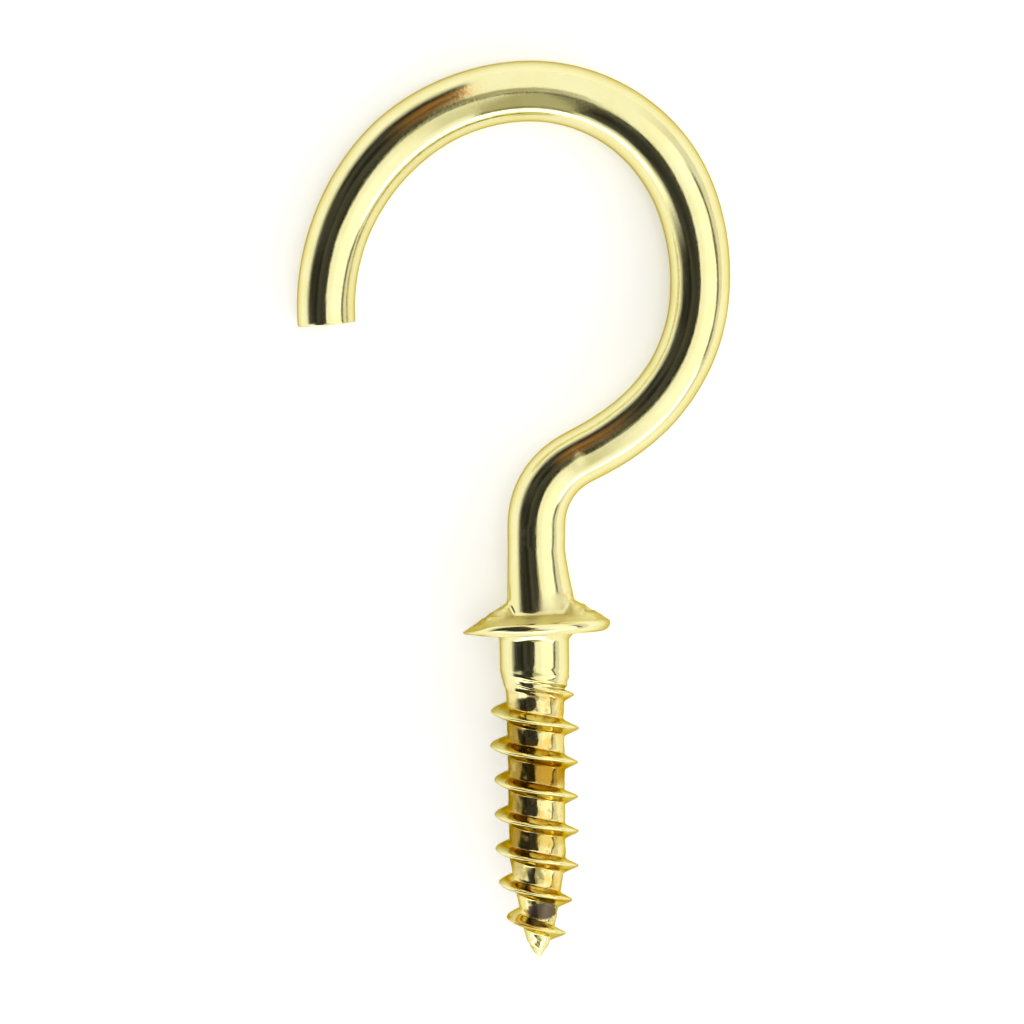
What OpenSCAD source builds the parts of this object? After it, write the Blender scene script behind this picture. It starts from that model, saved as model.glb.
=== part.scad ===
// Cup hook: one length of round wire, cold formed and then brass plated.
// The wire is bent into an open loop at one end. Below the loop it is upset
// into a cone-topped collar, and the stem under the collar is rolled into a
// wood-screw thread that runs out in a gimlet point.
//
// Local frame while it is built: the screw's axis is Z, the loop is at +Z,
// the loop lies in the XZ plane and the collar's flat underside is at Z = 0.
// The finished hook is then laid down as it rests on a table, on the rim of
// its collar and the far end of its loop, with +Z up and +Y towards the loop.

/* [Wire] */
// Diameter of the wire
wire_d = 2.62; // [2.4:0.01:2.8]
// Height of the straight neck above the collar's underside
neck_h = 4.8; // [4:0.1:6]

/* [Bend out of the neck] */
// Centre-line radius of the bend from the neck
neck_bend_r = 3.3; // [2.8:0.1:4]
// Angle of the bend from the neck
neck_bend_a = 62; // [55:1:68]
// Straight run between the neck's bend and the loop
run_l = 1.25; // [0.5:0.05:2]

/* [Loop, from the straight run to the cut end] */
// Centre-line radius where the loop leaves the run
heel_r = 8.4; // [7.5:0.05:9]
// Angle of that first arc
heel_a = 31.5; // [25:0.5:35]
// Centre-line radius of the loop's back
back_r = 8.65; // [8:0.05:9]
// Angle of the back
back_a = 70; // [60:0.5:75]
// Centre-line radius of the crown, where a cup hangs
crown_r = 7.55; // [7:0.05:8]
// Angle of the crown
crown_a = 76.5; // [70:0.5:85]
// Centre-line radius of the lip
lip_r = 9.95; // [9:0.05:11]
// Angle of the lip, up to the square-cut end
lip_a = 68.5; // [40:0.5:72]

/* [Collar] */
// Diameter of the collar
collar_d = 6.56; // [6:0.02:7.2]
// Radius of the collar's rounded rim
rim_r = 0.16; // [0.12:0.01:0.2]
// Height at which the cone meets the neck
cone_h = 1.34; // [1.2:0.02:1.6]
// Diameter of the neck where it meets the cone
neck_base_d = 3.04; // [2.9:0.02:3.2]
// Height at which the neck is back to the wire's own diameter
flare_h = 4.1; // [3.2:0.1:4.6]

/* [Shank] */
// Diameter of the plain shank under the collar
shank_d = 3.1; // [2.9:0.05:3.3]
// Length of the plain shank
shank_l = 1.55; // [1.2:0.05:2]
// Length of the step from the shank down to the root of the thread
step_l = 1.2; // [0.8:0.1:1.6]

/* [Screw] */
// Length from the collar's underside to the point
screw_l = 14.6; // [13:0.1:17]
// Root diameter of the thread
root_d = 2.54; // [2.4:0.02:2.7]
// Height of the thread above its root
thread_h = 0.66; // [0.5:0.02:0.75]
// Pitch of the thread
pitch = 1.54; // [1.4:0.02:1.7]
// Width of a flight where it leaves the root
flight_base = 0.7; // [0.5:0.05:0.85]
// Width of a flight at its crest
flight_crest = 0.1; // [0.06:0.02:0.16]
// Hand of the thread
thread_hand = -1; // [-1:left, 1:right]

/* [Rest] */
// Roll about the screw's axis at which the hook balances on the table, degrees
roll = 0.85; // [0:0.05:1.5]

/* [Hidden] */

$fn = 64;
wire_r = wire_d / 2;
root_r = root_d / 2;
taper_l = 4.4;    // the root narrows over this length above the point
cone_l = 1.3;     // the gimlet point's own cone
cone_r = 0.58;    // and its radius where it starts
thread_top = 2;   // the thread starts this far below the collar
steps = 24;       // sections in one turn of the thread
brass = [0.86, 0.80, 0.48];

// ---- the wire's centre line: [signed radius, angle], a positive one turns to -X
bends = [
    [-neck_bend_r, neck_bend_a],
    [heel_r, heel_a], [back_r, back_a], [crown_r, crown_a], [lip_r, lip_a]
];
// straight length in front of each bend
leads = [neck_h, run_l, 0, 0, 0];

// heading in degrees, anticlockwise from +X, in front of bend i
function heading(i) = i == 0 ? 90 : heading(i - 1) + sign(bends[i - 1][0]) * bends[i - 1][1];
// the point where bend i starts, as [x, z]
function start(i) = (i == 0 ? [0, 0] : at(i - 1, 1)) + leads[i] * [cos(heading(i)), sin(heading(i))];
// the point a share t of the way round bend i
function at(i, t) =
    let (r = bends[i][0], h = heading(i), a = h + sign(r) * t * bends[i][1])
    start(i) + r * [sin(a) - sin(h), cos(h) - cos(a)];
line = [for (i = [1 : 4]) for (k = [0 : 40]) at(i, k / 40)];

// ---- how it lies: the collar's rim and the far end of the loop touch the table
// how far the loop and the rim reach below the axis' own height at the collar's
// underside, when the axis leans down by an angle t towards the loop
function loop_low(t) =
    max([for (p = line) p[1] * sin(t) + p[0] * sin(roll) * cos(t)]) + wire_r;
function rim_low(t) = (collar_d / 2 - rim_r) * cos(t) + rim_r * sin(t) + rim_r;
// the lean at which both reach equally low, found by halving
function settle(low, high, n) =
    let (t = (low + high) / 2)
    n == 0 ? t : loop_low(t) < rim_low(t) ? settle(t, high, n - 1) : settle(low, t, n - 1);
lean = settle(0, 12, 24);
seat_h = rim_low(lean);
min_x = min([for (p = line) p[0]]) - wire_r;
max_x = max([for (p = line) p[0]]) + wire_r;
max_y = max([for (p = line) p[1]]) * cos(lean) + wire_r;
min_y = -screw_l * cos(lean);

// ---- outline of everything round the screw's axis, from the point to the neck
// radius of the root at a depth d below the collar
function root(d) =
    d > screw_l - cone_l ? cone_r * (screw_l - d) / cone_l :
    d > screw_l - taper_l ? cone_r + (root_r - cone_r) * (screw_l - cone_l - d) / (taper_l - cone_l) :
    root_r;
cone_a = atan2(cone_h - 2 * rim_r, collar_d / 2 - neck_base_d / 2 - rim_r);
rim = [for (a = [-90 : 15 : 90 - cone_a])
    [collar_d / 2 - rim_r + rim_r * cos(a), rim_r + rim_r * sin(a)]];
flare = [for (k = [0 : 6])
    let (t = k / 6)
    [neck_base_d / 2 - (neck_base_d / 2 - wire_r + 0.02) * sin(90 * t), cone_h + (flare_h - cone_h) * t]];
outline = concat(
    [[0, -screw_l],
     [cone_r, -screw_l + cone_l],
     [root_r, -screw_l + taper_l],
     [root_r, -shank_l - step_l],
     [shank_d / 2, -shank_l],
     [shank_d / 2, 0]],
    rim,
    flare,
    [[0, flare_h]]);

// one straight stretch of wire, from the origin along +Z
module stretch(l) {
    cylinder(h = l, r = wire_r);
}

// one bend of wire that leaves the origin along +Z and turns to -X
module bend(r, a) {
    translate([-r, 0, 0]) rotate([90, 0, 0])
        rotate_extrude(angle = a, $fn = 180) translate([r, 0]) circle(r = wire_r, $fn = 48);
}

// the faint knuckle that the bending tool leaves where the radius changes: it
// stands a few microns proud and covers the joint between two stretches
module knuckle() {
    sphere(r = wire_r + 0.004);
}

// the bent wire above the collar
module wire() {
    for (i = [0 : len(bends) - 1]) {
        translate([start(i)[0], 0, start(i)[1]]) knuckle();
        if (leads[i] > 0 && i > 0)
            translate([at(i - 1, 1)[0], 0, at(i - 1, 1)[1]]) knuckle();
        r = bends[i][0];
        // the lead of the first bend is the neck, from inside the collar
        lead = i == 0 ? neck_h - 0.5 : leads[i];
        translate([start(i)[0], 0, start(i)[1]]) rotate([0, 90 - heading(i), 0]) {
            if (lead > 0) translate([0, 0, -lead]) stretch(lead);
            if (r > 0) bend(r, bends[i][1]);
            else mirror([1, 0, 0]) bend(-r, bends[i][1]);
        }
    }
}

// the flare of the neck, the collar, the shank and the screw's core
module stem() {
    rotate_extrude() polygon(outline);
}

// height of the flight above the root at a depth d: it grows out of the step
// and fades into the point
function flight(d) =
    thread_h * min(1, (d - thread_top + 0.1) / 0.95) * min(1, max(0.12, (screw_l - 0.3 - d) / 0.75));

// the rolled thread, a ridge swept along its own helix
module thread() {
    turns = (screw_l - 0.4 - thread_top) / pitch;
    n = floor(turns * steps);
    points = [for (i = [0 : n])
        let (
            d = thread_top + pitch * i / steps,
            h = flight(d),
            w = flight_base / 2 * h / thread_h + flight_crest / 2,
            in = min(0.18, root(d) * 0.5),
            a = -thread_hand * 360 * i / steps + 180,
            g = w + 0.5 * in,
            profile = [[root(d) - in, d - g], [root(d) + h, d - flight_crest / 2],
                       [root(d) + h, d + flight_crest / 2], [root(d) - in, d + g]]
        )
        for (p = profile) [p[0] * cos(a), p[0] * sin(a), -p[1]]];
    function quad(a, b, c, d) = thread_hand > 0 ? [[a, b, c], [a, c, d]] : [[a, c, b], [a, d, c]];
    faces = concat(
        [for (i = [0 : n - 1]) for (k = [0 : 3])
            for (f = quad(4 * i + k, 4 * i + (k + 1) % 4, 4 * i + 4 + (k + 1) % 4, 4 * i + 4 + k)) f],
        thread_hand > 0 ? [[3, 2, 1, 0], [4 * n, 4 * n + 1, 4 * n + 2, 4 * n + 3]]
                        : [[0, 1, 2, 3], [4 * n + 3, 4 * n + 2, 4 * n + 1, 4 * n]]);
    polyhedron(points = points, faces = faces);
}

// the whole hook in its local frame
module upright() {
    union() {
        wire();
        stem();
        thread();
    }
}

// laid on the table, with the origin under the middle of its box
module cup_hook() {
    color(brass)
    translate([-(min_x + max_x) / 2, -(min_y + max_y) / 2, seat_h])
        rotate([-(90 + lean), 0, 0]) rotate([0, 0, roll])
            upright();
}

cup_hook();
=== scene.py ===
import math

import bpy
import numpy as np
from mathutils import Matrix, Vector, noise


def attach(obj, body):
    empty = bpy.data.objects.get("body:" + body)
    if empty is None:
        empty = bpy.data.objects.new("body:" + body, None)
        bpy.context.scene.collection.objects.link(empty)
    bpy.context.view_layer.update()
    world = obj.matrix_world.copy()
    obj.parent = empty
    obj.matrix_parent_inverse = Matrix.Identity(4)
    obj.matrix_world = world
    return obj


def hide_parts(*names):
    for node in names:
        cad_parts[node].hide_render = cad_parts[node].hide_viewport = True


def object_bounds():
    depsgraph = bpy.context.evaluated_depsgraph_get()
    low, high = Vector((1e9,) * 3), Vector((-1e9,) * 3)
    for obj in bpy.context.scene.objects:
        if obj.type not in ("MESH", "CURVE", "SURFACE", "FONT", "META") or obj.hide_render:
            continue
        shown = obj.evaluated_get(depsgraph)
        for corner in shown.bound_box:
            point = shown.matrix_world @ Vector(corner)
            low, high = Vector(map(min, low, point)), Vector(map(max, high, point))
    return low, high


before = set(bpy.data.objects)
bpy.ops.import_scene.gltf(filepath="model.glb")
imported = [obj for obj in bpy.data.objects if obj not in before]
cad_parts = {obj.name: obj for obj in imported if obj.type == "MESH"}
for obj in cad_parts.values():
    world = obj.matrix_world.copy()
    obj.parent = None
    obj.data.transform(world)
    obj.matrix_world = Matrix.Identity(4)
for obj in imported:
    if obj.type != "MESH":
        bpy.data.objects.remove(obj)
cad_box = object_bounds()

# ---------------------------------------------------------------------------
# The hook in its own frame, in millimetres: Z is the screw's axis, the loop is
# at +Z and lies in the XZ plane, the collar's underside is at Z = 0.
# ROW takes that frame to the row's frame, where the hook lies at rest.
# ---------------------------------------------------------------------------
LEAN, ROLL = math.radians(4.6884), math.radians(0.85)
ROW = (Matrix.Translation(Vector((1.00416, -5.38572, 3.28264)))
       @ Matrix.Rotation(-(math.pi / 2 + LEAN), 4, "X") @ Matrix.Rotation(ROLL, 4, "Z"))

N = 96                    # points round every section
PHI = np.arange(N) * 2 * math.pi / N
COS, SIN = np.cos(PHI), np.sin(PHI)
WIRE_R = 1.31


def smooth(x, lo, hi):
    t = np.clip((np.asarray(x, float) - lo) / (hi - lo), 0, 1)
    return t * t * (3 - 2 * t)


def through(x, table):
    """A soft curve through a few given stations."""
    xs, ys = np.array([p[0] for p in table], float), np.array([p[1] for p in table], float)
    fine = np.linspace(xs[0], xs[-1], 1500)
    val = np.interp(fine, xs, ys)
    step = fine[1] - fine[0]
    width = max(3, int(0.35 * np.min(np.diff(xs)) / step))
    kernel = np.hanning(2 * width + 1)
    kernel /= kernel.sum()
    val = np.convolve(np.pad(val, width, mode="edge"), kernel, mode="valid")
    return np.interp(x, fine, val)


# ---- the wire's centre line: straight neck, bend out, straight run, open loop
LEAD_X, LEAD_Z = 0.071, 1.3
PIECES = [(3.518, 0.0), (3.563, -1 / 3.273), (0.783, 0.0)]
for radius, angle in ((10.92, 12.5), (7.97, 45.7), (10.28, 24.1), (7.37, 73.7), (8.92, 46.2), (9.97, 44.5)):
    PIECES.append((radius * math.radians(angle), 1 / radius))
WIRE_L = sum(p[0] for p in PIECES)


def centre_line(step=0.01):
    s = np.arange(0, WIRE_L + step, step)
    curvature = np.zeros_like(s)
    at = 0.0
    for length, k in PIECES:
        curvature[(s >= at) & (s < at + length + 1e-9)] = k
        at += length
    curvature[s >= at] = PIECES[-1][1]
    # the wire springs back a little, so that no bend starts all at once
    width = int(0.75 / step)
    kernel = np.hanning(2 * width + 1)
    kernel /= kernel.sum()
    curvature = np.convolve(np.pad(curvature, width, mode="edge"), kernel, mode="valid")
    heading = math.pi / 2 + np.concatenate([[0], np.cumsum((curvature[1:] + curvature[:-1]) / 2 * step)])
    mid = (heading[1:] + heading[:-1]) / 2
    x = LEAD_X + np.concatenate([[0], np.cumsum(np.cos(mid) * step)])
    z = LEAD_Z + np.concatenate([[0], np.cumsum(np.sin(mid) * step)])
    return s, x, z, heading, curvature


PS, PX, PZ, PH, PK = centre_line()

# how thick the wire looks along its length, as a share of its nominal radius
GIRTH = [(0, 0.985), (3.4, 0.985), (5.0, 0.975), (7.0, 0.945), (9.5, 0.965), (13, 0.97), (16, 1.005), (19.5, 1.045),
         (23, 1.07), (26, 1.045), (29, 1.03), (33, 1.03), (36.5, 1.055), (39, 1.03), (41, 1.0), (44, 0.99),
         (60, 0.985)]

rows = []          # rings in millimetres, each (N, 3)
stock = []         # the same points on the straight, unbent stock


def ripple(p, scale, seed):
    """Smooth value noise in -1..1 at points p (n, 3), in millimetres; scale in bumps per millimetre."""
    q = p * scale + np.array([seed * 7.31, seed * 3.17, seed * 5.93])
    return np.array([noise.noise(Vector(v)) for v in q])


def wire_ring(s, shrink=1.0, push=0.0):
    x, z = np.interp(s, PS, PX), np.interp(s, PS, PZ)
    h, k = np.interp(s, PS, PH), np.interp(s, PS, PK)
    t = np.array([math.cos(h), 0, math.sin(h)])
    e1 = np.array([math.sin(h), 0, -math.cos(h)])
    e2 = np.array([0, 1.0, 0])
    g = float(through(s, GIRTH))
    # a bend flattens round wire a little across its own plane
    oval = 1 + 0.012 * min(1, abs(k) * 6)
    r = WIRE_R * g
    flat = np.stack([r * COS, r * SIN, np.full(N, s)], 1)
    calm = smooth(s, 3.1, 5.0)
    r = r * (1 + 0.0035 * calm * ripple(flat * [1, 1, 0.45], 0.85, 3) + 0.0016 * calm * ripple(flat * [1, 1, 0.35], 2.6, 5))
    r = r * shrink
    p = (np.array([x, 0, z])[None] + (r * COS / (1 if g > 1.0 else 1))[:, None] * e1
         + (r * SIN * oval / (g ** 0.6))[:, None] * e2 + push * t)
    return p, flat


# ---- the cut end: a shear cut, nearly square, with a fine burr on its inner side
def end_cap():
    s = WIRE_L
    p0, flat = wire_ring(s)
    h = np.interp(s, PS, PH)
    t = np.array([math.cos(h), 0, math.sin(h)])
    centre = p0.mean(0)
    out = []
    for share, depth in ((0.0, 0.0), (0.22, -0.012), (0.42, -0.02), (0.6, -0.012), (0.76, 0.004), (0.88, 0.012),
                         (0.95, 0.006), (0.985, -0.012)):
        ring = centre + (p0 - centre) * share
        rough = 0.010 * ripple(np.stack([ring[:, 0], ring[:, 1], ring[:, 2]], 1), 2.2, 11) * (share > 0)
        rough += 0.02 * share * COS          # the blade leaves the face a touch out of square
        ring = ring + (depth + rough)[:, None] * t
        out.append((ring, flat * [share, share, 1]))
    return out


cap = end_cap()
pole_top = cap[0][0][0]
for ring, flat in cap[1:]:
    rows.append(ring); stock.append(flat)

S_NECK = 3.05             # the wire gives way to the neck here (Z = 4.35)
steps = np.concatenate([[WIRE_L - 0.03, WIRE_L - 0.07, WIRE_L - 0.14], np.arange(WIRE_L - 0.28, S_NECK + 0.12, -0.16)])
for s in steps:
    p, flat = wire_ring(s)
    edge = float(smooth(s, WIRE_L - 0.09, WIRE_L))
    p = p - (p - p.mean(0)) * 0.012 * edge
    rows.append(p); stock.append(flat)

# ---- neck, collar and shank. The collar was upset between two dies: a shallow
# saucer in front and behind, with a steep rough web of metal at either side
TILT_X, TILT_Y = math.tan(math.radians(2.8)), math.tan(math.radians(2.8))
COLLAR_R = 3.28
side = np.abs(COS)
web = smooth(side, math.cos(math.radians(50)), math.cos(math.radians(24)))
left = smooth(-COS, 0.55, 0.95)
right = smooth(COS, 0.45, 0.9)
rim_h = 0.185 - 0.115 * left + 0.03 * right       # the rim's small round nose; the left side is a thin flash
rim_w = 0.13 - 0.06 * left + 0.05 * right
rim_c = 0.235 - 0.125 * left
rim_z = -0.09 + 0.105 * left             # below the nose a bevel leads in to here
BEVEL = 0.21 + 0.07 * right
NECK_TOP = 4.32
CX = [(-3, 0.0), (0.0, 0.06), (0.5, 0.087), (1.3, 0.071), (5, 0.075)]


def neck_radius(z):
    """The grip of the dies leaves the neck a touch thin; below it swells, mostly to the right."""
    grip = smooth(z, 3.75, 4.3)
    f = np.clip((3.85 - z) / 2.5, 0, 1.3) ** 1.25
    right = (0.5 + 0.5 * COS) ** 1.35
    return 1.278 - 0.033 * right + (0.012 + 0.033 * right) * grip + 0.02 * right * (1 - grip) + f * (0.03 + 0.40 * right)


def lean(x, y, z, share):
    return z + share * (TILT_X * x - TILT_Y * y)


def add(r, z, share, centre):
    """A ring: r and z may vary round it. share of the collar's own tilt, centre of the ring in X."""
    r = np.broadcast_to(np.asarray(r, float), (N,)).copy()
    z = np.broadcast_to(np.asarray(z, float), (N,)).copy()
    x, y = r * COS, r * SIN
    flat = np.stack([x, y, z], 1)
    rows.append(np.stack([x + centre, y, lean(x, y, z, share)], 1))
    stock.append(flat)
    return flat


fil = 0.25
z_foot = 0.74 + 0.52 * web               # where the neck's fillet ends, before the tilt
z_top = z_foot + fil
for t in np.linspace(0, 1, 26):
    z = NECK_TOP + (z_top - NECK_TOP) * t
    r = neck_radius(z)
    flat = np.stack([r * COS, r * SIN, z], 1)
    r = r * (1 + 0.003 * smooth(NECK_TOP - z, 0.2, 1.2) * ripple(flat * [1, 1, 0.5], 0.9, 3))
    # a groove at the left, where the web was torn from the die
    groove = np.exp(-((PHI - math.radians(197)) / 0.13) ** 2) * smooth(z, z_foot - 0.1, z_foot + 0.15) * (1 - smooth(z, 1.7, 2.3))
    r = r - 0.05 * groove
    add(r, z, smooth(t, 0.35, 1.0), 0.073)
r_foot = neck_radius(z_top)
slope = np.arctan2(z_foot - (rim_c + rim_h), (COLLAR_R - rim_w) - (r_foot + fil))
for k in np.linspace(0.12, 1, 8):
    a = k * (math.pi / 2 - slope)
    add(r_foot + fil * (1 - np.cos(a)), z_top - fil * np.sin(a), 1.0, 0.073)
r_a, z_a = r_foot + fil * (1 - np.cos(math.pi / 2 - slope)), z_top - fil * np.sin(math.pi / 2 - slope)
# the rim is an oval nose; its upper end meets the saucer at the saucer's slope
nose = np.pi / 2 - slope * 0.9      # where the saucer's slope takes over
r_b, z_b = COLLAR_R - rim_w + rim_w * np.cos(nose), rim_c + rim_h * np.sin(nose)
for t in np.linspace(0.04, 0.97, 30):
    r = r_a + (r_b - r_a) * t
    z = z_a + (z_b - z_a) * t
    flat = np.stack([r * COS, r * SIN, z], 1)
    rough = 0.070 * ripple(flat, 2.4, 21) + 0.075 * ripple(flat, 4.4, 22)
    z = z + rough * web * math.sin(math.pi * min(1, t * 1.1)) ** 0.7 + (0.012 * ripple(flat, 1.3, 23) + 0.008 * ripple(flat, 3.0, 24)) * math.sin(math.pi * t) ** 0.5
    z = z + 0.07 * (1 - web) * math.sin(math.pi * t)      # in front the saucer is slightly domed
    centre = 0.073 + (0.087 - 0.073) * t
    add(r, z, 1.0, centre)
LOW = math.radians(50)
for k in np.linspace(0, 1, 14):
    a = nose * (1 - k) - LOW * k
    r = COLLAR_R - rim_w + rim_w * np.cos(a)
    z = rim_c + rim_h * np.sin(a)
    flat = np.stack([r * COS, r * SIN, z], 1)
    r = r * (1 + 0.0022 * ripple(flat, 0.8, 31)) + 0.006 * ripple(flat, 1.7, 32)
    z = z + 0.012 * ripple(flat, 1.1, 33)
    add(r, z, 1.0, 0.087)
r_low, z_low = COLLAR_R - rim_w + rim_w * math.cos(LOW), rim_c - rim_h * math.sin(LOW)
for t in (0.16, 0.32, 0.48, 0.64, 0.80, 0.92, 1.0):
    r = r_low + (COLLAR_R - BEVEL - r_low) * t ** (1.15 + 0.9 * right)
    z = z_low + (rim_z - z_low) * t
    flat = np.stack([r * COS, r * SIN, z], 1)
    fade = 1 - t
    r = r * (1 + 0.0022 * fade * ripple(flat, 0.8, 31)) + 0.006 * ripple(flat, 1.7, 32)
    add(r, z + 0.012 * fade * ripple(flat, 1.1, 33), 1.0, 0.087)
for t in (0.04, 0.12, 0.26, 0.42, 0.6, 0.8, 0.94):
    r = (COLLAR_R - BEVEL) + (1.86 - (COLLAR_R - BEVEL)) * t
    z = rim_z + (-0.10 - rim_z) * t
    add(r, z, 1.0, 0.087 - 0.03 * t)
# a short cone, slightly lumpy, leads from the underside to the shank
FOOT = ((1.80, -0.100), (1.75, -0.105), (1.72, -0.125), (1.69, -0.155), (1.655, -0.20), (1.62, -0.245), (1.585, -0.29),
        (1.563, -0.325), (1.552, -0.36), (1.55, -0.40))
for k, (r, z) in enumerate(FOOT):
    k = k / (len(FOOT) - 1)
    flat = np.stack([r * COS, r * SIN, np.full(N, z)], 1)
    bulge = math.sin(math.pi * k)
    add(r + 0.012 * ripple(flat, 1.6, 34) * bulge, z + 0.014 * ripple(flat, 1.4, 35) * bulge, 1.0 - 0.75 * k, 0.057 - 0.09 * k)
add(1.55, -0.46, 0.1, -0.029)

# ---- the rolled screw
PITCH, CREST0 = 1.54, 1.225      # a crest passes angle 0 at depth CREST0 + k * PITCH
POINT = 14.6
ROOT = [(0, 1.55), (1.7, 1.55), (2.1, 1.47), (2.5, 1.33), (2.85, 1.27), (6, 1.265), (10.2, 1.25), (11.2, 1.07),
        (12.36, 0.84), (13.1, 0.72), (13.6, 0.61), (14.0, 0.42), (14.3, 0.22), (14.5, 0.08), (14.6, 0.0)]
CREST = [(0, 1.5), (1.9, 1.5), (2.3, 1.62), (2.75, 1.80), (3.1, 1.90), (3.6, 1.99), (4.35, 1.94), (5.1, 2.05), (5.8, 1.88),
         (6.6, 1.88), (7.4, 1.86), (8.2, 1.89), (9.0, 1.86), (9.7, 1.88), (10.5, 1.83), (11.2, 1.76), (12.0, 1.52), (12.8, 1.42),
         (13.45, 1.26), (13.9, 0.80), (14.2, 0.36), (14.6, 0.0)]
offsets = [0.0, 0.028, 0.056, 0.085, 0.12, 0.16, 0.20, 0.24, 0.28, 0.32, 0.365, 0.42, 0.50, 0.62]
inpitch = np.array(sorted([o / PITCH for o in offsets] + [1 - o / PITCH for o in offsets[1:]] + [0.5]))
n = len(inpitch)

U_TOP, U_END = -2, 10
u_knots = [-2, -1, -0.6, 0, 0.3, 0.8, 8.0, 8.3, 8.7, 9.1, 9.5, 10, 11]
d_knots = [0.50, 0.56, 0.75, 1.25, 1.687, 1.225 + 1.54 * 0.8, 1.225 + 1.54 * 8.0, 13.98, 14.32, 14.46, 14.52, 14.54, 14.555]


def depth_of(u):
    return np.interp(u, u_knots, d_knots)


def flight(v, w_base, w_crest):
    """Share of the flight's height at a distance v along the axis from its crest."""
    x = (w_base - np.abs(v)) / (w_base - w_crest)
    low, high = 0.24, 0.24
    y = np.clip(x, 0, 1)
    y = np.where(np.abs(x) < low, (x + low) ** 2 / (4 * low), y)
    y = np.where(np.abs(x - 1) < high, 1 - (1 + high - x) ** 2 / (4 * high), y)
    return y


def screw_radius(d, phi, flat):
    f = phi / (2 * math.pi)
    phase = (d - CREST0) / PITCH - f
    v = (phase - np.round(phase)) * PITCH
    root = through(d, ROOT)
    crest = through(d, CREST)
    h = np.clip(crest - root, 0, None) * smooth(d, 2.1, 3.0)
    base = 0.10 + 0.235 * np.clip(h / 0.66, 0.05, 1.1)
    y = flight(v, base, 0.055)
    r = root + h * y
    # fine ridges where the rolling dies ran out
    ridge = np.zeros_like(r)
    for shift, amount, lo, hi in ((-0.36, 0.085, 1.75, 2.9), (-0.72, 0.07, 1.45, 2.6), (0.36, 0.05, 2.2, 3.2)):
        w = (phase - shift / PITCH - np.round(phase - shift / PITCH)) * PITCH
        ridge = np.maximum(ridge, amount * flight(w, 0.16, 0.02) * smooth(d, lo, lo + 0.35) * (1 - smooth(d, hi - 0.5, hi)))
    r = r + ridge
    # faint ridges left on the gimlet point
    r = r + 0.02 * np.cos(phase * 2 * math.pi * 3) * smooth(d, 13.5, 13.7) * (1 - smooth(d, 14.1, 14.4))
    return r, y


verts_extra = []
strip_rows = (U_END - U_TOP) * n
idx = {}
strip_u = np.array([U_TOP + i // n + inpitch[i % n] for i in range(strip_rows + 1)])
grid = np.zeros((strip_rows + 1, N, 3))
grid_flat = np.zeros_like(grid)
d_all = depth_of(strip_u[:, None] + PHI[None] / (2 * math.pi))
phi_all = np.broadcast_to(PHI[None], d_all.shape)
r_all, y_all = screw_radius(d_all, phi_all, None)
flat_all = np.stack([r_all * np.cos(phi_all), r_all * np.sin(phi_all), -d_all], -1)
pts = flat_all.reshape(-1, 3)
core = (1 - y_all).reshape(-1)
grow = smooth(d_all.reshape(-1), 1.0, 2.6) * (1 - 0.7 * smooth(d_all.reshape(-1), 13.4, 14.4))
dent = (0.030 * ripple(pts, 1.3, 41) + 0.022 * ripple(pts, 2.9, 42) + 0.013 * ripple(pts, 5.0, 46)) * core * grow
dent += 0.010 * ripple(pts, 2.0, 43) * (1 - core) * grow + 0.003 * ripple(pts * [1, 1, 0.4], 1.2, 44)
r_all = np.maximum(r_all + dent.reshape(r_all.shape), 0.004)
wave = 0.02 * ripple(pts, 0.55, 45).reshape(r_all.shape) * smooth(d_all, 3.0, 4.5) * (1 - smooth(d_all, 13, 14))
grid[..., 0] = r_all * np.cos(phi_all) - 0.035 + 0.0155 * d_all
grid[..., 1] = r_all * np.sin(phi_all)
grid[..., 2] = -d_all - wave * y_all
grid_flat = flat_all

# ---- put the mesh together
verts, flats, faces = [], [], []


def put(p, q):
    verts.append(p); flats.append(q)
    return len(verts) - 1


top_pole = put(pole_top, np.array([0, 0, WIRE_L]))
ring_ids = []
for ring, flat in zip(rows, stock):
    ring_ids.append([put(ring[j], flat[j]) for j in range(N)])
for j in range(N):
    faces.append((top_pole, ring_ids[0][j], ring_ids[0][(j + 1) % N]))
for a, b in zip(ring_ids[:-1], ring_ids[1:]):
    for j in range(N):
        k = (j + 1) % N
        faces.append((a[j], b[j], b[k], a[k]))

base = len(verts)
for i in range(strip_rows + 1):
    for j in range(N):
        put(grid[i, j], grid_flat[i, j])


def g(i, j):
    return base + (i + n) * N if j == N else base + i * N + j


for i in range(strip_rows):
    for j in range(N):
        if j == N - 1 and i + n + 1 > strip_rows:
            continue
        faces.append((g(i, j), g(i + 1, j), g(i + 1, j + 1), g(i, j + 1)))
T = ring_ids[-1]
for j in range(N - 1):
    faces.append((T[j], g(0, j), g(0, j + 1), T[j + 1]))
last = T[N - 1]
faces.append((last, g(0, N - 1), g(n, 0)))
for k in range(n, 0, -1):
    faces.append((last, g(k, 0), g(k - 1, 0)))
faces.append((last, g(0, 0), T[0]))
# the very point
R = strip_rows
tip_d = 14.575
tip_r = 0.012
B = [put(np.array([tip_r * COS[j] - 0.035 + 0.0155 * tip_d, tip_r * SIN[j], -tip_d]), np.array([tip_r * COS[j], tip_r * SIN[j], -tip_d]))
     for j in range(N)]
for j in range(N - 1):
    faces.append((g(R, j), B[j], B[j + 1], g(R, j + 1)))
for k in range(n):
    faces.append((g(R, 0), g(R - n + k, N - 1), g(R - n + k + 1, N - 1)))
faces.append((g(R, 0), g(R, N - 1), B[N - 1]))
faces.append((g(R, 0), B[N - 1], B[0]))
tip_pole = put(np.array([-0.035 + 0.0155 * POINT, 0, -POINT + 0.01]), np.array([0, 0, -POINT]))
for j in range(N):
    faces.append((B[j], tip_pole, B[(j + 1) % N]))

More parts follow.
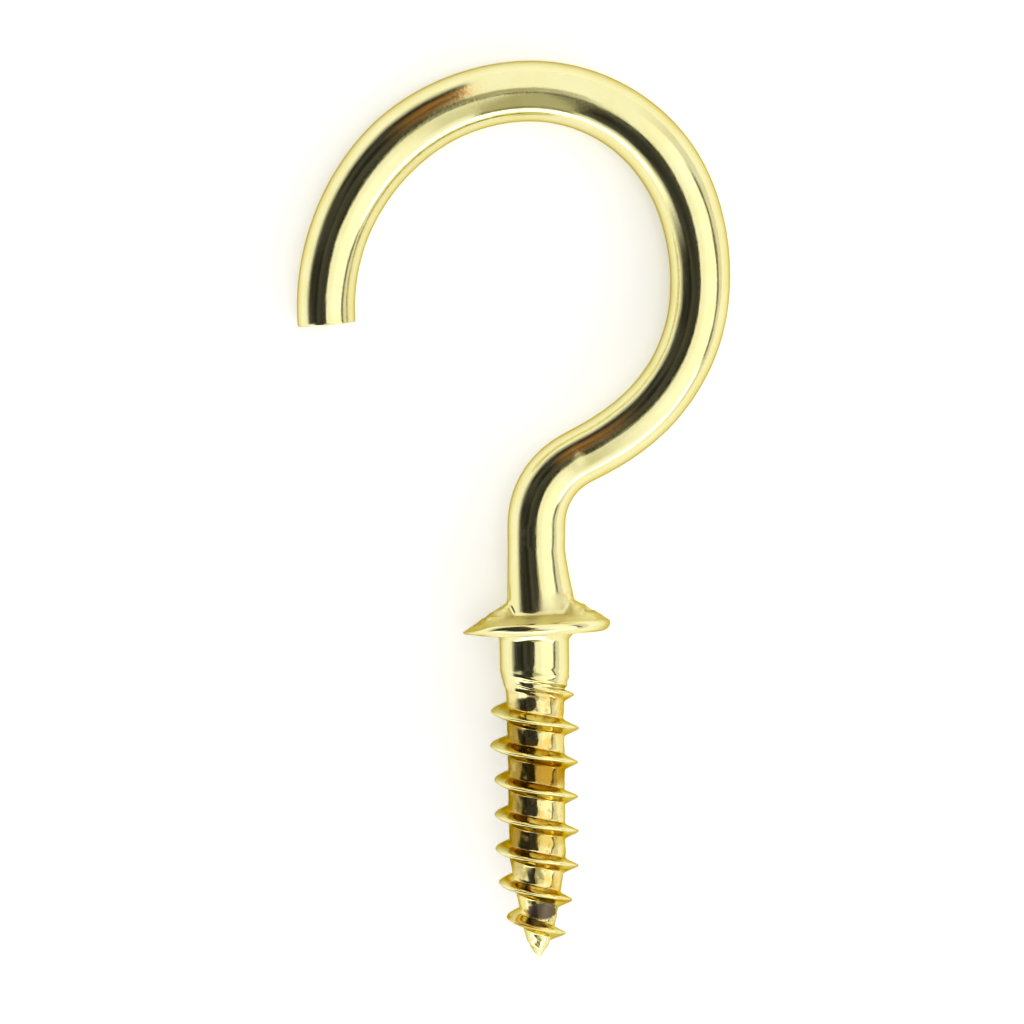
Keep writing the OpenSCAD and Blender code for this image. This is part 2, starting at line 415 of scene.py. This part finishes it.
P = np.array(verts)
F = np.array(flats)
M = np.array(ROW)
W = P @ M[:3, :3].T + M[:3, 3]
# the hook rests on the table: nothing reaches below it
W[:, 2] = np.maximum(W[:, 2], 0.0)

mesh = bpy.data.meshes.new("cup_hook_plated")
mesh.from_pydata((W * 0.001).tolist(), [], faces)
mesh.update()
attr = mesh.attributes.new("stock", "FLOAT_VECTOR", "POINT")
attr.data.foreach_set("vector", F.astype(np.float32).ravel())
for poly in mesh.polygons:
    poly.use_smooth = True
hook = bpy.data.objects.new("cup_hook_plated", mesh)
bpy.context.scene.collection.objects.link(hook)


# ---------------------------------------------------------------------------
# Brass plate over steel
# ---------------------------------------------------------------------------
class Nodes:
    def __init__(self, tree):
        self.tree = tree
        self.x = 0

    def new(self, kind, **settings):
        node = self.tree.nodes.new(kind)
        node.location = (self.x, 0)
        self.x += 180
        for key, value in settings.items():
            setattr(node, key, value)
        return node

    def link(self, a, b):
        self.tree.links.new(a, b)

    def put(self, socket, value):
        if isinstance(value, bpy.types.NodeSocket):
            self.link(value, socket)
        else:
            socket.default_value = value

    def math(self, op, a, b=0.0, c=0.0, clamp=False):
        node = self.new("ShaderNodeMath", operation=op, use_clamp=clamp)
        for i, v in enumerate((a, b, c)):
            self.put(node.inputs[i], v)
        return node.outputs[0]

    def ramp(self, value, lo, hi, a=0.0, b=1.0, kind="SMOOTHSTEP"):
        node = self.new("ShaderNodeMapRange", interpolation_type=kind)
        self.put(node.inputs["Value"], value)
        node.inputs["From Min"].default_value = lo
        node.inputs["From Max"].default_value = hi
        node.inputs["To Min"].default_value = a
        node.inputs["To Max"].default_value = b
        return node.outputs["Result"]

    def mix(self, share, a, b):
        node = self.new("ShaderNodeMix", data_type="RGBA")
        self.put(node.inputs["Factor"], share)
        colour_in = [s for s in node.inputs if s.type == "RGBA"]
        self.put(colour_in[0], a)
        self.put(colour_in[1], b)
        return [s for s in node.outputs if s.type == "RGBA"][0]

    def noise(self, vector, scale, detail=2.0, rough=0.5, seed=(0, 0, 0)):
        shift = self.new("ShaderNodeVectorMath", operation="ADD")
        self.link(vector, shift.inputs[0])
        shift.inputs[1].default_value = seed
        node = self.new("ShaderNodeTexNoise")
        self.link(shift.outputs[0], node.inputs["Vector"])
        node.inputs["Scale"].default_value = scale
        node.inputs["Detail"].default_value = detail
        node.inputs["Roughness"].default_value = rough
        return node.outputs["Fac"]


def both(t, *fields):
    """All of several masks at once."""
    out = fields[0]
    for f in fields[1:]:
        out = t.math("MULTIPLY", out, f)
    return out


def blob(t, v, centre, share):
    """Distance from a place on the stock, stretched by share along each axis."""
    away = t.new("ShaderNodeVectorMath", operation="SUBTRACT")
    t.link(v, away.inputs[0])
    away.inputs[1].default_value = centre
    size = t.new("ShaderNodeVectorMath", operation="MULTIPLY")
    t.link(away.outputs[0], size.inputs[0])
    size.inputs[1].default_value = share
    far = t.new("ShaderNodeVectorMath", operation="LENGTH")
    t.link(size.outputs[0], far.inputs[0])
    return far.outputs["Value"]


def brass():
    mat = bpy.data.materials.new("brass_plate_painted_shade")
    mat.use_nodes = True
    t = Nodes(mat.node_tree)
    shader = mat.node_tree.nodes["Principled BSDF"]
    where = t.new("ShaderNodeAttribute", attribute_type="GEOMETRY", attribute_name="stock")
    v = where.outputs["Vector"]
    stretch = t.new("ShaderNodeVectorMath", operation="MULTIPLY")
    t.link(v, stretch.inputs[0])
    stretch.inputs[1].default_value = (1.0, 1.0, 0.16)
    drawn = stretch.outputs[0]
    cloud = t.noise(v, 0.55, 3.0, 0.55)
    grain = t.noise(v, 9.0, 3.0, 0.6, (3, 1, 7))
    lines = t.noise(drawn, 7.0, 3.0, 0.6, (5, 2, 1))
    # colour: pale greenish brass that wanders a little in tone, and painted light in the
    #     roots of the thread: a deeper gold standing in for light bounced between the flights
    tone = t.ramp(cloud, 0.3, 0.7)
    colour = t.mix(tone, (0.815, 0.755, 0.365, 1), (0.850, 0.800, 0.440, 1))
    split = t.new("ShaderNodeSeparateXYZ")
    t.link(v, split.inputs[0])
    px, py, pz = split.outputs
    radius = t.math("SQRT", t.math("ADD", t.math("MULTIPLY", px, px), t.math("MULTIPLY", py, py)))
    patch = t.ramp(t.noise(v, 0.8, 3.0, 0.6, (2, 9, 4)), 0.47, 0.66)
    # painted light: the thread roots take a deeper gold for bounced light, darker orange in patches
    root = both(t, t.ramp(radius, 1.85, 1.40), t.ramp(pz, -2.2, -3.3), t.ramp(pz, -13.7, -13.0))
    colour = t.mix(t.math("MULTIPLY", root, 0.48), colour, (0.80, 0.65, 0.21, 1))
    colour = t.mix(t.math("MULTIPLY", both(t, root, patch), 0.85), colour, (0.76, 0.50, 0.10, 1))
    # painted shade: dark brown specks in the thread roots
    dark_speck_shade = both(t, root, t.ramp(t.noise(v, 3.2, 3.0, 0.65, (8, 1, 2)), 0.57, 0.66))
    colour = t.mix(t.math("MULTIPLY", dark_speck_shade, 0.55), colour, (0.40, 0.27, 0.08, 1))
    # deeper gold and brown patches on the core in two places at the front; painted shade all along its left side
    for centre, share, amount, tone in (((0.5, -1.1, -6.15), (0.75, 0.5, 1.3), 0.93, (0.42, 0.23, 0.015, 1)),
                                        ((0.6, -1.1, -9.1), (1.2, 0.6, 1.9), 0.7, (0.62, 0.42, 0.06, 1))):
        near = t.math("ADD", blob(t, v, centre, share), t.math("MULTIPLY", t.math("SUBTRACT", grain, 0.5), 0.6))
        colour = t.mix(both(t, root, t.ramp(near, 1.15, 0.6, 0.0, amount)), colour, tone)
    # painted shade: the left side of the core darkened to brown
    left_side_shade = both(t, root, t.ramp(px, -0.15, -0.80), t.ramp(pz, -2.7, -3.8), t.ramp(pz, -11.2, -9.8),
                t.ramp(t.noise(v, 1.9, 3.0, 0.6, (7, 3, 5)), 0.30, 0.55, 0.55, 0.95))
    colour = t.mix(left_side_shade, colour, (0.33, 0.21, 0.03, 1))
    # painted shade: darker gold in the crease where a flight leaves the core
    crease_shade = both(t, root, t.ramp(radius, 1.27, 1.33), t.ramp(radius, 1.58, 1.42),
                  t.ramp(t.noise(v, 1.6, 3.0, 0.6, (4, 4, 9)), 0.38, 0.56, 0.3, 1.0))
    colour = t.mix(crease_shade, colour, (0.60, 0.38, 0.07, 1))
    # the collar's upper face was not polished: duller, with gold in the forging marks
    face = both(t, t.ramp(radius, 1.42, 1.62), t.ramp(radius, 3.16, 3.02), t.ramp(pz, 0.18, 0.3), t.ramp(pz, 1.9, 1.6))
    marks = both(t, face, t.ramp(t.noise(v, 3.6, 2.0, 0.6, (1, 6, 3)), 0.48, 0.62))
    sides = t.ramp(t.math("DIVIDE", t.math("ABSOLUTE", px), radius), 0.60, 0.94)
    colour = t.mix(t.math("MULTIPLY", marks, t.math("ADD", 0.12, t.math("MULTIPLY", sides, 0.36))), colour, (0.66, 0.46, 0.11, 1))
    shader.inputs["Metallic"].default_value = 1.0
    shader.inputs["Specular Tint"].default_value = (0.55, 0.44, 0.13, 1)      # the plate deepens to gold at grazing angles
    rough = t.math("ADD", t.ramp(cloud, 0.25, 0.75, 0.0, 0.035), t.ramp(grain, 0.35, 0.75, 0.075, 0.125))
    rough = t.math("ADD", rough, t.math("MULTIPLY", face, t.math("SUBTRACT", 0.36, t.math("MULTIPLY", sides, 0.22))))
    # a worn brown patch near the point
    far = blob(t, v, (0.22, -0.78, -12.42), (1.25, 1.25, 2.3))
    edge = t.math("ADD", far, t.math("MULTIPLY", t.math("SUBTRACT", grain, 0.5), 0.7))
    worn = t.math("MULTIPLY", t.ramp(edge, 1.05, 0.80), t.ramp(radius, 1.12, 0.98))
    t.link(t.mix(worn, colour, (0.155, 0.118, 0.078, 1)), shader.inputs["Base Color"])
    rough = t.math("ADD", rough, t.math("MULTIPLY", worn, 0.26))
    t.link(rough, shader.inputs["Roughness"])
    bump = t.new("ShaderNodeBump")
    bump.inputs["Strength"].default_value = 1.0
    bump.inputs["Distance"].default_value = 0.0000022
    height = t.math("ADD", t.math("MULTIPLY", grain, 0.7), t.math("MULTIPLY", lines, 1.3))
    t.link(height, bump.inputs["Height"])
    t.link(bump.outputs["Normal"], shader.inputs["Normal"])
    return mat


mesh.materials.append(brass())
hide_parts("cup_hook")
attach(hook, "root")

# ---------------------------------------------------------------------------
# Floor, light and camera
# ---------------------------------------------------------------------------
floor_mesh = bpy.data.meshes.new("floor")
floor_mesh.from_pydata([(-3, -3, 0), (3, -3, 0), (3, 3, 0), (-3, 3, 0)], [], [(0, 1, 2, 3)])
floor = bpy.data.objects.new("floor", floor_mesh)
bpy.context.scene.collection.objects.link(floor)
paper = bpy.data.materials.new("floor_paper")
paper.use_nodes = True
paper_shader = paper.node_tree.nodes["Principled BSDF"]
paper_shader.inputs["Base Color"].default_value = (0.93, 0.93, 0.92, 1)
paper_shader.inputs["Roughness"].default_value = 0.9
paper_shader.inputs["Emission Color"].default_value = (1, 1, 0.99, 1)        # a light table under the paper
paper_shader.inputs["Emission Strength"].default_value = 0.24
floor_mesh.materials.append(paper)

BETA = math.radians(3.8)          # the camera sees the loop's side of the collar by this much
TO_CAMERA = (ROW.to_3x3() @ Vector((0, -math.cos(BETA), math.sin(BETA)))).normalized()
RIGHT = Vector((1, 0, 0))
RIGHT = (RIGHT - TO_CAMERA * RIGHT.dot(TO_CAMERA)).normalized()
UP = TO_CAMERA.cross(RIGHT).normalized()


def studio():
    """A wide bright tent with a dark opening to one side, as a set of soft fields round the sky."""
    world = bpy.data.worlds.new("studio")
    bpy.context.scene.world = world
    world.use_nodes = True
    t = Nodes(world.node_tree)
    back = world.node_tree.nodes["Background"]
    coord = t.new("ShaderNodeTexCoord")
    ray = coord.outputs["Generated"]

    def along(axis):
        node = t.new("ShaderNodeVectorMath", operation="DOT_PRODUCT")
        t.link(ray, node.inputs[0])
        node.inputs[1].default_value = axis
        return node.outputs["Value"]

    # the fields are laid out round the direction that the flat of the hook mirrors to the camera
    middle = (TO_CAMERA * math.cos(2 * BETA) - UP * math.sin(2 * BETA)).normalized()
    c, x, y = along(middle), along(RIGHT), along(middle.cross(RIGHT).normalized())
    polar = t.math("MULTIPLY", t.math("ARCCOSINE", c), 180 / math.pi)
    xs = t.math("SUBTRACT", x, 0.04)
    turn = t.math("MULTIPLY", t.math("ARCTAN2", y, xs), 180 / math.pi)     # 0 right, 90 up, -90 down
    turn_left = t.math("MULTIPLY", t.math("ARCTAN2", y, t.math("MULTIPLY", xs, -1.0)), 180 / math.pi)   # 0 left, 90 up

    # a narrow cone above and below, never dark
    spread = t.math("DIVIDE", t.math("ABSOLUTE", x), t.math("MAXIMUM", t.math("ABSOLUTE", y), 0.0001))
    cone = t.ramp(spread, 0.345, 0.295)
    above = t.ramp(y, -0.01, 0.01)
    # the dark side of the room, left and upper left, and its ragged lower corner
    dark = both(t, t.ramp(turn_left, -27, -7), t.ramp(turn_left, 73.5, 72.0), t.ramp(polar, 88, 66))
    corner = both(t, t.ramp(turn_left, -74, -70), t.ramp(turn_left, 8, -6), t.ramp(polar, 62, 44))
    dark = t.math("MULTIPLY", t.math("MAXIMUM", dark, corner), t.math("SUBTRACT", 1.0, cone))
    # warm reflection of wood at the edge of the dark
    warm = both(t, t.ramp(turn_left, 42, 62), t.ramp(turn_left, 73.5, 72.0), t.ramp(polar, 14, 28), t.ramp(polar, 66, 56))
    # a mid grey field below the camera, darker towards its far end
    reach = t.math("ADD", t.math("MULTIPLY", above, t.ramp(polar, 20, 15)),
                   t.math("MULTIPLY", t.math("SUBTRACT", 1.0, above), t.ramp(polar, 65, 60)))
    low = t.math("MULTIPLY", cone, reach)
    side = both(t, t.ramp(turn, -80, -72), t.ramp(turn, -52, -68), t.ramp(polar, 56, 40))
    low = t.math("MAXIMUM", low, t.math("MULTIPLY", side, 0.55))
    low = t.math("MULTIPLY", low, t.ramp(polar, 50, 60, 0.58, 0.86))
    # a narrow dark upright at the right, brighter in front of it and duller behind
    offset = t.math("ADD", t.math("SUBTRACT", polar, 69.0), t.math("MULTIPLY", turn, 0.25))
    post = both(t, t.ramp(turn, -32, -22), t.ramp(turn, 34, 24), t.ramp(offset, -6.5, -2.5), t.ramp(offset, 6.5, 2.5))
    right = both(t, t.ramp(turn, -60, -30), t.ramp(turn, 62, 34))
    front = both(t, right, t.ramp(polar, 14, 34), t.ramp(offset, 0, -3))
    behind = both(t, right, t.ramp(offset, 0, 4))
    # long soft boxes low down in front
    box = both(t, t.ramp(turn, -160, -138), t.ramp(turn, -18, -38), t.ramp(polar, 62, 70), t.ramp(polar, 79, 73))

    # the dark side is a dim room, not a black hole
    shade = t.ramp(t.noise(ray, 3.2, 4.0, 0.6, (1, 2, 3)), 0.35, 0.70, 0.985, 0.925)
    level = t.math("ADD", 1.14, t.math("MULTIPLY", box, 1.9))
    level = t.math("ADD", level, t.math("MULTIPLY", front, 0.20))
    level = t.math("MULTIPLY", level, t.math("SUBTRACT", 1.0, t.math("MULTIPLY", behind, 0.24)))
    level = t.math("MULTIPLY", level, t.math("SUBTRACT", 1.0, low))
    level = t.math("MULTIPLY", level, t.math("SUBTRACT", 1.0, t.math("MULTIPLY", dark, shade)))
    level = t.math("MULTIPLY", level, t.math("SUBTRACT", 1.0, t.math("MULTIPLY", post, 0.85)))
    # what the camera itself sees past the floor is plain
    path = t.new("ShaderNodeLightPath")
    seen = path.outputs["Is Camera Ray"]
    level = t.math("ADD", t.math("MULTIPLY", level, t.math("SUBTRACT", 1.0, seen)), t.math("MULTIPLY", seen, 1.0))
    tint = t.math("MULTIPLY", t.math("MULTIPLY", warm, dark), t.math("SUBTRACT", 1.0, seen))
    air = t.mix(tint, (1, 1, 1, 1), (4.6, 2.3, 0.8, 1))
    olive = t.math("MULTIPLY", low, t.math("SUBTRACT", 1.0, seen))
    t.link(t.mix(olive, air, (1.04, 0.98, 0.50, 1)), back.inputs["Color"])
    t.link(level, back.inputs["Strength"])


studio()

# soft light from above that only the paper takes
lamp_data = bpy.data.lights.new("overhead", "AREA")
lamp_data.shape = "DISK"
lamp_data.size = 0.5
lamp_data.energy = 2.3
lamp = bpy.data.objects.new("overhead", lamp_data)
bpy.context.scene.collection.objects.link(lamp)
lamp.location = TO_CAMERA * 0.95 + RIGHT * 0.03 - UP * 0.03
lamp.rotation_euler = (Vector((0, 0, 0)) - Vector(lamp.location)).to_track_quat("-Z", "Y").to_euler()
lamp.visible_glossy = False

cam_data = bpy.data.cameras.new("camera")
camera = bpy.data.objects.new("camera", cam_data)
bpy.context.scene.collection.objects.link(camera)
cam_data.sensor_width = 36
cam_data.lens = 300
cam_data.clip_start = 0.01
cam_data.clip_end = 20
lo, hi = cad_box
aim = (Vector(lo) + Vector(hi)) / 2
VIEW_H = 0.0455
dist = cam_data.lens / 36 * VIEW_H
camera.location = aim + TO_CAMERA * dist
camera.rotation_mode = "QUATERNION"
camera.rotation_quaternion = Matrix((RIGHT, UP, TO_CAMERA)).transposed().to_quaternion()
bpy.context.scene.camera = camera

view = bpy.context.scene.view_settings
view.view_transform = "Standard"
view.look = "None"
view.exposure = 0.0
view.gamma = 1.0

bpy.context.view_layer.update()
